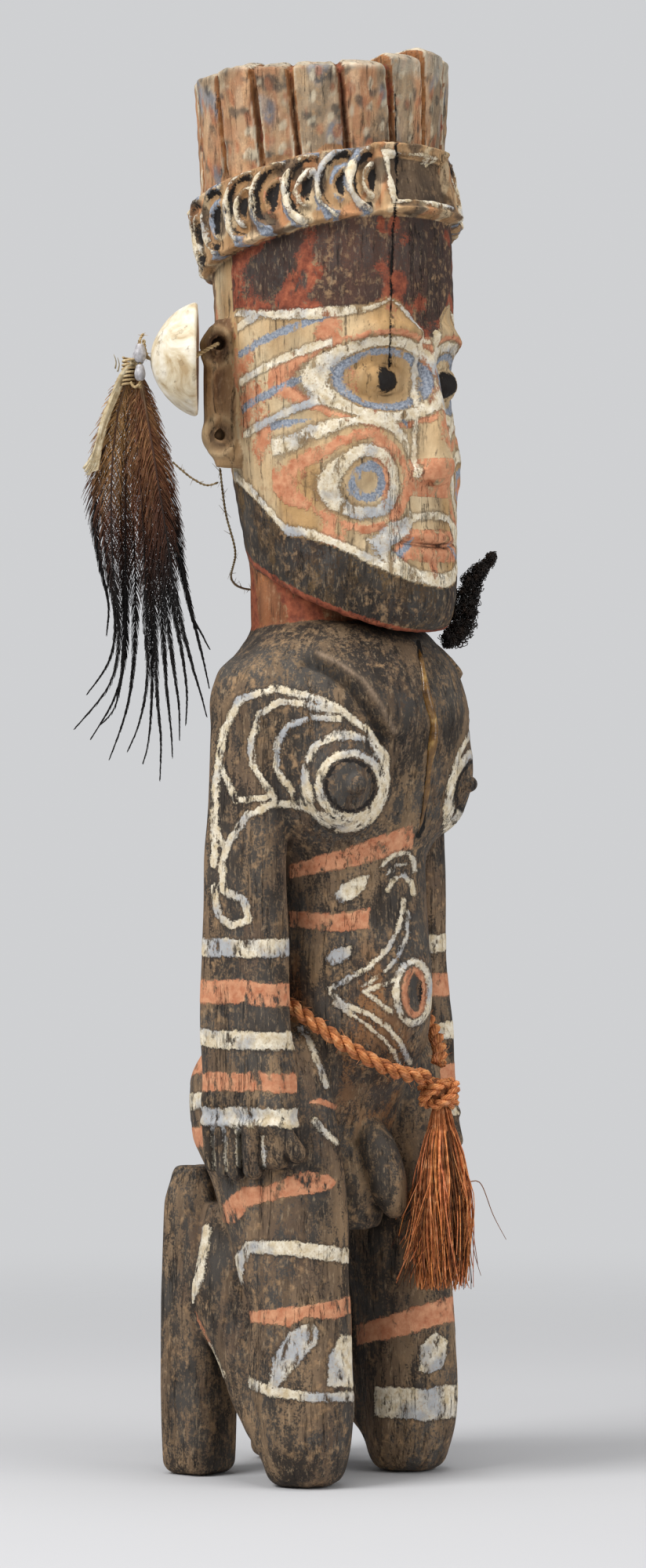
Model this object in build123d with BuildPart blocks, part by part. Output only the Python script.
"""Carved ancestor figure: one carved log with its hung and tied ornaments.

Frame: +Z up, the figure faces -Y, its own right-hand side is -X.  Everything is drawn about the
axis of the log and moved at the end by ORIGIN_SHIFT, so that the origin is on the floor at the middle
of the whole object's box.  Millimetres.  A kneeling figure: each leg folds like an N, so it
stands on two knees and two feet.
"""
import math
import os

from build123d import *

os.makedirs("parts", exist_ok=True)

# ---------------------------------------------------------------- driving dimensions
TOTAL_H = 690.0                  # floor to the top of the front crown slats
CROWN_CY, CROWN_A, CROWN_B = 10.0, 65.0, 58.0   # outer ellipse of the crown of slats
N_SLATS, SLAT_W, SLAT_T = 17, 17.5, 12.0
CROWN_FALL = 7.0                 # the back slats end this much lower than the middle
BAND_TILT = 14.3                 # headband falls this many degrees towards the back
BAND_CY, BAND_Z, BAND_H = 7.0, 608.0, 33.0
BAND_A, BAND_B = 66.0, 63.0
PLAQUE_W = 54.0
EAR_T, EAR_HOLE_R = 8.0, 2.8
SHELL_R, SHELL_H, SHELL_Z, SHELL_OUT = 28.0, 23.0, 538.0, 66.6
CORD_R = 0.8                     # ornament cord
BEAD_R, BEAD_L, BEAD_BORE = 3.0, 9.0, 0.88
ROPE_R = 3.5                     # hip rope
ROPE_A, ROPE_B, ROPE_BACK = 46.0, 50.0, 46.0
KNOT = (14.0, -51.0, 188.0)
TASSEL_X, TASSEL_Y, TASSEL_TOP, TASSEL_END = 18.0, -52.0, 178.0, 94.0
ORIGIN_SHIFT = (15.29, -6.87, 0.0)
HANG = math.radians(50.0)        # the ear ornament lies in a vertical plane turned this far


def hung(out, deep):
    """Plan position of a point 'out' mm from the log axis along the ornament plane and 'deep' mm behind that plane."""
    c, s = math.cos(HANG), math.sin(HANG)
    return (-c * out + s * deep, s * out + c * deep)


def at_ear(u, m, w):
    """Point by the right ear: u outward along the flange, m through it, w above its middle."""
    return (-48 - 0.8 * u + 0.6 * m, 22 + 0.6 * u + 0.8 * m, 522 + w)


# Sections of the carved log: z, centre y, half width in x, half depth in y
TORSO = [
    (165, 8, 38, 28), (190, 5, 42, 36), (209, -1, 40, 43.5), (225, -3.5, 38.8, 45), (240, -4.5, 38.2, 45.5), (270, -2, 38.2, 44),
    (298, 0, 42, 42), (322, -5, 60, 49), (345, -7, 66, 51), (370, -8, 66, 53),
    (386, -5, 58, 47), (397, 2, 44, 38),
]
NECK = [(380, 4, 44, 38), (400, 6, 38, 34), (430, 9, 38, 33.5), (452, 9, 40, 35)]
HEAD = [
    (404, -13, 30, 34), (412, -13, 41, 46), (430, -11, 47, 51), (455, -8, 50, 53),
    (500, -1, 54, 56), (550, 2, 57, 60), (590, 3, 58, 60), (611, 2, 52.5, 51.5),
]
# z, centre x (for the figure's left), centre y, half x, half y
ARM = [
    (392, 46, 8, 10, 14), (380, 51, 8, 12, 18), (360, 55.5, 7, 12.5, 20), (330, 58, 6, 12, 20.5),
    (296, 60, 7, 10.5, 21.5), (257, 60, 7, 9.8, 23), (215, 61, 6, 9.8, 25), (190, 61, 4, 10, 27),
    (165, 62, 2, 10, 28), (148, 61, 2, 8, 24),
]
THIGH = [
    (219, 38, 12, 12, 16), (211, 39, 12, 20, 30), (190, 40, 14, 24, 40), (165, 39, 12, 25, 41),
    (140, 38, 4, 24.5, 36), (128, 38, 1, 24, 34), (100, 38.5, -5, 23.5, 28), (80, 39, -10, 23, 25),
    (50, 40, -11, 24, 25.5), (25, 40, -12, 23.5, 24), (8, 39, -12.5, 19, 19), (0, 39, -12.5, 15, 15),
]
CALF = [
    (4, 40, -9, 14, 10), (26, 39, 2, 19, 17), (52, 38, 13, 20, 22), (87, 37, 31, 19, 25),
    (110, 36, 33, 18, 19), (130, 35, 36, 14, 12),
]
# z, half x, half y; the right foot stands at FOOT_AT[-1], the left one at FOOT_AT[1]
FOOT = [(0, 12, 12), (6, 15.5, 14.5), (40, 16.5, 15.5), (90, 16, 15.5), (130, 15, 14), (145, 10, 9.5)]
FOOT_AT = {-1: (-36, 57.5), 1: (36, 63.0)}
NOSE = [(468, -58, 9, 8), (480, -58.5, 12, 12), (512, -54, 8, 10), (547, -52, 6.5, 8)]
LOIN = [(172, -24, 7.5, 9), (150, -28, 8, 8.5), (132, -31, 7.5, 8), (119, -33.5, 4.5, 4.5)]
LOIN_BACK = [(160, -10, 20, 12), (140, -12, 19, 13), (122, -12, 12, 9)]
SPLIT = [(-80, 314), (-44, 314), (-49, 345), (-51, 370), (-36, 390), (-22, 399), (-80, 402)]

band_plane = Plane(
    origin=(0, BAND_CY, BAND_Z),
    x_dir=(1, 0, 0),
    z_dir=(0, math.sin(math.radians(BAND_TILT)), math.cos(math.radians(BAND_TILT))),
)

# ---------------------------------------------------------------- a folded leg: thigh to the knee, calf back up, heel block down
LEGS = {}
for side in (-1, 1):
    with BuildPart() as leg:
        for z, cx, cy, a, b in THIGH:
            with BuildSketch(Plane.XY.offset(z)):
                with Locations((side * cx, cy)):
                    Ellipse(a, b)
        loft()
        for z, cx, cy, a, b in CALF:
            with BuildSketch(Plane.XY.offset(z)):
                with Locations((side * cx, cy)):
                    Ellipse(a, b)
        loft()
        for z, hx, hy in FOOT:
            with BuildSketch(Plane.XY.offset(z)):
                with Locations(FOOT_AT[side]):
                    RectangleRounded(2 * hx, 2 * hy, min(hx, hy) * 0.6)
        loft()
    LEGS[side] = leg.part

# ---------------------------------------------------------------- the carved log
with BuildPart() as carved_figure:
    # crown of slats: one toothed ring, cut off so that it falls towards the back
    with BuildSketch(Plane.XY.offset(597)):
        with Locations((0, CROWN_CY)):
            Ellipse(CROWN_A - SLAT_T + 2, CROWN_B - SLAT_T + 2)
        for i in range(N_SLATS):
            t = math.radians(-90.0 + 360.0 / N_SLATS * i)
            ex, ey = math.cos(t), math.sin(t)
            facing = math.degrees(math.atan2(ey / (CROWN_B - 6), ex / (CROWN_A - 6)))
            with Locations(Location(((CROWN_A - SLAT_T / 2) * ex, CROWN_CY + (CROWN_B - SLAT_T / 2) * ey, 0), (0, 0, facing))):
                RectangleRounded(SLAT_T, SLAT_W, 1.5)
    extrude(amount=TOTAL_H + 20 - 597)
    with Locations(Location((0, CROWN_CY, TOTAL_H - CROWN_FALL), (-math.degrees(math.atan2(CROWN_FALL, CROWN_B)), 0, 0))):
        Box(200, 200, 60, align=(Align.CENTER, Align.CENTER, Align.MIN), mode=Mode.SUBTRACT)
    # headband, tilted down to the back, and its framed front plaque
    with BuildSketch(band_plane):
        Ellipse(BAND_A, BAND_B)
    extrude(amount=BAND_H / 2, both=True)
    with BuildSketch(band_plane):
        Ellipse(BAND_A + 3, BAND_B + 3.5)
        Rectangle(PLAQUE_W, 300, align=(Align.CENTER, Align.MAX), mode=Mode.INTERSECT)
    extrude(amount=BAND_H / 2 + 1, both=True)
    with BuildSketch(band_plane):
        Ellipse(BAND_A + 12, BAND_B + 12)
        Ellipse(BAND_A + 0.5, BAND_B + 0.8, mode=Mode.SUBTRACT)
        Rectangle(PLAQUE_W - 12, 300, align=(Align.CENTER, Align.MAX), mode=Mode.INTERSECT)
    extrude(amount=BAND_H / 2 - 6, both=True, mode=Mode.SUBTRACT)
    # torso, neck and head
    for z, cy, a, b in TORSO:
        with BuildSketch(Plane.XY.offset(z)):
            with Locations((0, cy)):
                Ellipse(a, b)
    loft()
    for z, cy, a, b in NECK:
        with BuildSketch(Plane.XY.offset(z)):
            with Locations((0, cy)):
                Ellipse(a, b)
    loft()
    for z, cy, a, b in HEAD:
        with BuildSketch(Plane.XY.offset(z)):
            with Locations((0, cy)):
                Ellipse(a, b)
    loft()
    # nose and lips of the face
    for z, cy, a, b in NOSE:
        with BuildSketch(Plane.XY.offset(z)):
            with Locations((0, cy)):
                Ellipse(a, b)
    loft()
    with BuildSketch(Plane.XZ.offset(40)):
        with Locations((0, 448)):
            Ellipse(18, 5.5)
    extrude(amount=24)
    # arms, legs and hands, on both sides
    for side in (-1, 1):
        for z, cx, cy, hx, hy in ARM:
            with BuildSketch(Plane.XY.offset(z)):
                with Locations((side * cx, cy)):
                    RectangleRounded(2 * hx, 2 * hy, min(hx, hy) * 0.72)
        loft()
        add(LEGS[side])
        # nipple boss
        with Locations(Plane(origin=(side * 40, -36, 334), z_dir=(side * 0.6, -0.8, 0.05)).location):
            Cone(12, 4, 14, align=(Align.CENTER, Align.CENTER, Align.MIN))
        # ear flange, standing outward and back, with its two holes
        ear_plane = Plane(origin=(side * 48, 22, 522), x_dir=(side * 0.8, 0.6, 0), z_dir=(-side * 0.6, 0.8, 0))
        up = 1 if ear_plane.y_dir.Z > 0 else -1
        with BuildSketch(ear_plane):
            with BuildLine():
                Polyline((-16, -30 * up), (4, -35 * up), (12, -31 * up), (16.2, -18 * up), (16.2, 24 * up),
                         (11, 34 * up), (0, 36 * up), (-16, 30 * up), close=True)
            make_face()
        extrude(amount=EAR_T / 2, both=True)
        with BuildSketch(ear_plane):
            with Locations((10.5, 23.5 * up), (9.6, -20.0 * up)):
                Circle(EAR_HOLE_R)
        extrude(amount=EAR_T, both=True, mode=Mode.SUBTRACT)
        # four finger grooves on the outside of the hand
        with Locations(*[(side * 73, gy, 163) for gy in (-14, -5, 4, 13)]):
            Box(5, 1.8, 32, mode=Mode.SUBTRACT)
    # loins
    for z, cy, a, b in LOIN_BACK:
        with BuildSketch(Plane.XY.offset(z)):
            with Locations((0, cy)):
                Ellipse(a, b)
    loft()
    for z, cy, a, b in LOIN:
        with BuildSketch(Plane.XY.offset(z)):
            with Locations((0, cy)):
                Ellipse(a, b)
    loft()
    # drying split down the breastbone, filled by the next piece
    with BuildSketch(Plane.YZ):
        with BuildLine():
            Polyline(*SPLIT, close=True)
        make_face()
    extrude(amount=1.4, both=True, mode=Mode.SUBTRACT)
    # small blind tie hole in the left jaw
    with Locations(Plane(origin=(40.9, -36.6, 428), z_dir=(0.869, -0.495, 0)).location):
        Cylinder(1.5, 9, align=(Align.CENTER, Align.CENTER, Align.CENTER), mode=Mode.SUBTRACT)
carved_figure.part.label = "carved_figure"

# ---------------------------------------------------------------- filling of the split, flush with the chest
with BuildPart() as split_filling:
    for z, cy, a, b in TORSO:
        with BuildSketch(Plane.XY.offset(z)):
            with Locations((0, cy)):
                Ellipse(a, b)
    loft()
    with BuildSketch(Plane.YZ):
        with BuildLine():
            Polyline((-80, 315), (-44.6, 315), (-49.5, 345), (-51.5, 370), (-38.5, 389), (-36.5, 390.5), (-33, 393), (-80, 393), close=True)
        make_face()
    extrude(amount=1.2, both=True, mode=Mode.INTERSECT)
split_filling.part.label = "split_filling"

# ---------------------------------------------------------------- domed shell by the right ear
shell_at = (*hung(SHELL_OUT, -29), SHELL_Z)
out_dir = (*hung(1, 0), 0)
deep_dir = (*hung(0, 1), 0)
shell_plane = Plane(origin=shell_at, x_dir=out_dir, z_dir=deep_dir)
with BuildPart() as shell_disc:
    with BuildSketch(shell_plane):
        with BuildLine():
            Polyline((SHELL_H, 1.5), (6.5, 1.5), (0, 10), (0, SHELL_R - 1.5), (1.5, SHELL_R))
            ThreePointArc((1.5, SHELL_R), (16.5, 19.5), (SHELL_H, 1.5))
        make_face()
    revolve(axis=Axis(shell_at, out_dir))
shell_disc.part.label = "shell_disc"

# cord loop through the upper ear hole, with a tail through the shell
tie_meet = (*hung(71, -29), SHELL_Z)
with BuildPart() as ear_tie_cord:
    with BuildLine():
        ring = Spline(
            tie_meet, at_ear(21, -4.6, 17.6), at_ear(16.5, -6.2, 20.5), at_ear(11.6, -5.7, 23.2),
            at_ear(10.5, -2, 23.5), at_ear(10.5, 2, 23.5), at_ear(11.6, 5.7, 23.2), at_ear(16.5, 5.5, 20.5),
            at_ear(21, 2.8, 17.6), tie_meet,
        )
    with BuildSketch(Plane(origin=ring @ 0, z_dir=ring % 0)):
        Circle(CORD_R)
    sweep()
    with Locations(tie_meet):
        Sphere(1.3)
    with BuildSketch(Plane(origin=tie_meet, z_dir=out_dir)):
        Circle(CORD_R)
    extrude(amount=19.4)
ear_tie_cord.part.label = "ear_tie_cord"

# inverted-U cord that carries the beads and the plume
FRONT_STRAND, BACK_STRAND = (94.4, -33.6), (95.6, -23.4)
with BuildPart() as bead_cord:
    with BuildLine():
        Line((*hung(*FRONT_STRAND), 524), (*hung(*FRONT_STRAND), 546))
        Spline((*hung(*FRONT_STRAND), 546), (*hung(93.2, -28.6), 549.5), (*hung(*BACK_STRAND), 545.5),
               tangents=((0, 0, 1), (0, 0, -1)))
        Line((*hung(*BACK_STRAND), 545.5), (*hung(*BACK_STRAND), 533))
    with BuildSketch(Plane.XY.offset(524)):
        with Locations(hung(*FRONT_STRAND)):
            Circle(CORD_R)
    sweep()
bead_cord.part.label = "bead_cord"

with BuildPart() as bead_front_top:
    at = hung(*FRONT_STRAND)
    with BuildSketch(Plane(origin=(*at, 540.6), x_dir=(1, 0, 0), z_dir=(0, -1, 0))):
        with BuildLine():
            Polyline((BEAD_BORE, 4.7), (BEAD_BORE, -4.4), (1.4, -4.5))
            Spline((1.4, -4.5), (BEAD_R, -0.8), (1.3, 4.7))
            Line((1.3, 4.7), (BEAD_BORE, 4.7))
        make_face()
    revolve(axis=Axis((*at, 0), (0, 0, 1)))
bead_front_top.part.label = "bead_front_top"

with BuildPart() as bead_front_low:
    at = hung(*FRONT_STRAND)
    with BuildSketch(Plane(origin=(*at, 531.3), x_dir=(1, 0, 0), z_dir=(0, -1, 0))):
        with BuildLine():
            Polyline((BEAD_BORE, 4.1), (BEAD_BORE, -4.0), (1.4, -4.0))
            Spline((1.4, -4.0), (BEAD_R - 0.3, -0.6), (1.3, 4.1))
            Line((1.3, 4.1), (BEAD_BORE, 4.1))
        make_face()
    revolve(axis=Axis((*at, 0), (0, 0, 1)))
bead_front_low.part.label = "bead_front_low"

with BuildPart() as bead_back:
    at = hung(*BACK_STRAND)
    with BuildSketch(Plane(origin=(*at, 539.6), x_dir=(1, 0, 0), z_dir=(0, -1, 0))):
        with BuildLine():
            Polyline((BEAD_BORE, 4.5), (BEAD_BORE, -4.3), (1.4, -4.3))
            Spline((1.4, -4.3), (BEAD_R - 0.1, -0.7), (1.3, 4.5))
            Line((1.3, 4.5), (BEAD_BORE, 4.5))
        make_face()
    revolve(axis=Axis((*at, 0), (0, 0, 1)))
bead_back.part.label = "bead_back"

# bound quill end of the plume
with BuildPart() as plume_binding:
    for z, out, r in ((541, 99.4, 1.6), (536, 99.8, 2.9), (529, 100.4, 3.2), (524, 101, 3.9)):
        with BuildSketch(Plane.XY.offset(z)):
            with Locations(hung(out, -28.5)):
                Circle(r)
    loft()
plume_binding.part.label = "plume_binding"

# the feathers: z, out, half width, half thickness, sideways place at the root and lower down
FEATHERS = {
    "feather_long": (-28.5, -28.5, [(523.4, 101, 2.4), (505, 98, 8), (480, 96, 12), (447, 90, 14), (410, 84, 14), (375, 82, 11), (348, 84, 6), (334, 85, 1.5)]),
    "feather_outer": (-26.9, -24.2, [(523.4, 101.2, 2.4), (505, 101.5, 7), (480, 103, 11), (447, 101, 12), (410, 106, 12), (382, 117, 7), (358, 129, 1.5)]),
    "feather_inner": (-30.1, -32.8, [(523.4, 101, 2.4), (505, 97, 8), (480, 93, 11), (447, 84, 12), (420, 75, 9), (400, 65, 2)]),
    "feather_back": (-25.3, -19.9, [(523.4, 101, 2.4), (505, 102, 6), (480, 105, 9), (447, 103, 11), (410, 110, 9), (379, 119, 2)]),
    "feather_front": (-31.7, -37.1, [(523.4, 101, 2.4), (505, 97, 7), (480, 93, 10), (447, 89, 12), (412, 77, 10), (384, 65, 2)]),
}
feather_parts = {}
for feather, (root_deep, low_deep, stations) in FEATHERS.items():
    with BuildPart() as vane:
        for i, (z, out, w) in enumerate(stations):
            deep = root_deep + (low_deep - root_deep) * min(1.0, i / 2)
            thick = 0.65 if i == 0 else 1.1 if i == 1 else 1.7 if i < len(stations) - 1 else 0.8
            with BuildSketch(Plane.XY.offset(z)):
                with Locations(Location((*hung(out, deep), 0), (0, 0, 130))):
                    Ellipse(w, thick)
        loft()
    vane.part.label = feather
    feather_parts[feather] = vane.part

# strings by the ear and neck
with BuildPart() as guard_string:
    with BuildLine():
        run = Spline((-47.5, 35, 480), (-53, 38, 478.5), (-62, 40, 482), (*hung(79, -26.5), 489))
    with BuildSketch(Plane(origin=run @ 0, z_dir=run % 0)):
        Circle(0.7)
    sweep()
guard_string.part.label = "guard_string"

with BuildPart() as neck_string:
    with BuildLine():
        run = Spline((-44.5, 36.5, 487), (-41, 36, 466), (-38.5, 32, 447), (-25, 46, 434), (0, 54, 430),
                     (25, 46, 434), (38.5, 32, 447), (41, 36, 466), (44.5, 36.5, 487))
    with BuildSketch(Plane(origin=run @ 0, z_dir=run % 0)):
        Circle(1.1)
    sweep()
neck_string.part.label = "neck_string"

# curly hair tuft by the left jaw, on a short tie
with BuildPart() as tuft_tie:
    with BuildSketch(Plane(origin=(37.9, -34.9, 428), z_dir=(0.869, -0.495, 0))):
        Circle(1.0)
    extrude(amount=7.6)
tuft_tie.part.label = "tuft_tie"

with BuildPart() as hair_tuft:
    for (x, y, z), r in (((41, -40.5, 399.5), 2.2), ((45.5, -44.5, 405), 5.0), ((49.8, -45.6, 416), 6.0), ((50.5, -46.5, 426), 5.0),
                         ((51, -49.5, 434), 2.8), ((52.5, -53, 440), 2.0), ((54, -55.5, 445), 1.0)):
        with BuildSketch(Plane.XY.offset(z)):
            with Locations((x, y)):
                Circle(r)
    loft()
hair_tuft.part.label = "hair_tuft"

# ---------------------------------------------------------------- hip rope, knot and tassel
def rope_point(t):
    """Centre of the rope at t degrees: 0 by the right arm, 90 in front, 180 by the left arm."""
    a = math.radians(t)
    front, back = max(0.0, math.sin(a)), max(0.0, -math.sin(a))
    z = 233 - 38 * front ** 1.25 + 7 * back
    return (-ROPE_A * math.cos(a), -(ROPE_B + 2) * front + ROPE_BACK * back, z)


KNOT_T = 106
with BuildPart() as hip_rope:
    with BuildLine():
        run = Spline(*[rope_point(KNOT_T + 14.5 + (360 - 29) * i / 22) for i in range(23)])
    with BuildSketch(Plane(origin=run @ 0, z_dir=run % 0)):
        Circle(ROPE_R)
    sweep()
hip_rope.part.label = "hip_rope"

with BuildPart() as rope_knot:
    with BuildSketch(Plane(origin=KNOT, x_dir=(1, 0, 0), z_dir=(0, -1, 0))):
        Ellipse(8.6, 8.8)
        Rectangle(40, 40, align=(Align.MIN, Align.CENTER), mode=Mode.INTERSECT)
    revolve(axis=Axis(KNOT, (0, 0, 1)))
rope_knot.part.label = "rope_knot"

with BuildPart() as tassel_head:
    with BuildSketch(Plane.XY.offset(TASSEL_TOP - 10)):
        with Locations((TASSEL_X - 2, TASSEL_Y)):
            Circle(8)
    extrude(amount=10)
    fillet(tassel_head.edges().filter_by(GeomType.CIRCLE), 2)
tassel_head.part.label = "tassel_head"

with BuildPart() as tassel_fibres:
    for z, x, r in ((TASSEL_TOP - 14.1, TASSEL_X - 2, 7.8), (155, TASSEL_X - 1, 11), (130, TASSEL_X, 13), (105, TASSEL_X, 13), (TASSEL_END, TASSEL_X, 11)):
        with BuildSketch(Plane.XY.offset(z)):
            with Locations((x, TASSEL_Y)):
                Circle(r)
    loft()
    # the fibres gather to a point under the whipping, so the skirt can swing there
    with Locations((TASSEL_X - 2, TASSEL_Y, TASSEL_TOP - 12.35)):
        Cone(7.8, 0.6, 3.5)
tassel_fibres.part.label = "tassel_fibres"

# ---------------------------------------------------------------- move to the shared origin, and write
for piece in (
    carved_figure, split_filling, shell_disc, ear_tie_cord,
    bead_cord, bead_front_top, bead_front_low, bead_back,
    plume_binding, guard_string, neck_string, tuft_tie,
    hair_tuft, hip_rope, rope_knot, tassel_head,
    tassel_fibres,
):
    piece.part.move(Location(ORIGIN_SHIFT))
for vane_part in feather_parts.values():
    vane_part.move(Location(ORIGIN_SHIFT))

export_step(carved_figure.part, "parts/carved_figure.step")
export_step(split_filling.part, "parts/split_filling.step")
export_step(shell_disc.part, "parts/shell_disc.step")
export_step(ear_tie_cord.part, "parts/ear_tie_cord.step")
export_step(bead_cord.part, "parts/bead_cord.step")
export_step(bead_front_top.part, "parts/bead_front_top.step")
export_step(bead_front_low.part, "parts/bead_front_low.step")
export_step(bead_back.part, "parts/bead_back.step")
export_step(plume_binding.part, "parts/plume_binding.step")
export_step(guard_string.part, "parts/guard_string.step")
export_step(neck_string.part, "parts/neck_string.step")
export_step(tuft_tie.part, "parts/tuft_tie.step")
export_step(hair_tuft.part, "parts/hair_tuft.step")
export_step(hip_rope.part, "parts/hip_rope.step")
export_step(rope_knot.part, "parts/rope_knot.step")
export_step(tassel_head.part, "parts/tassel_head.step")
export_step(tassel_fibres.part, "parts/tassel_fibres.step")
for feather, vane_part in feather_parts.items():
    export_step(vane_part, "parts/" + feather + ".step")
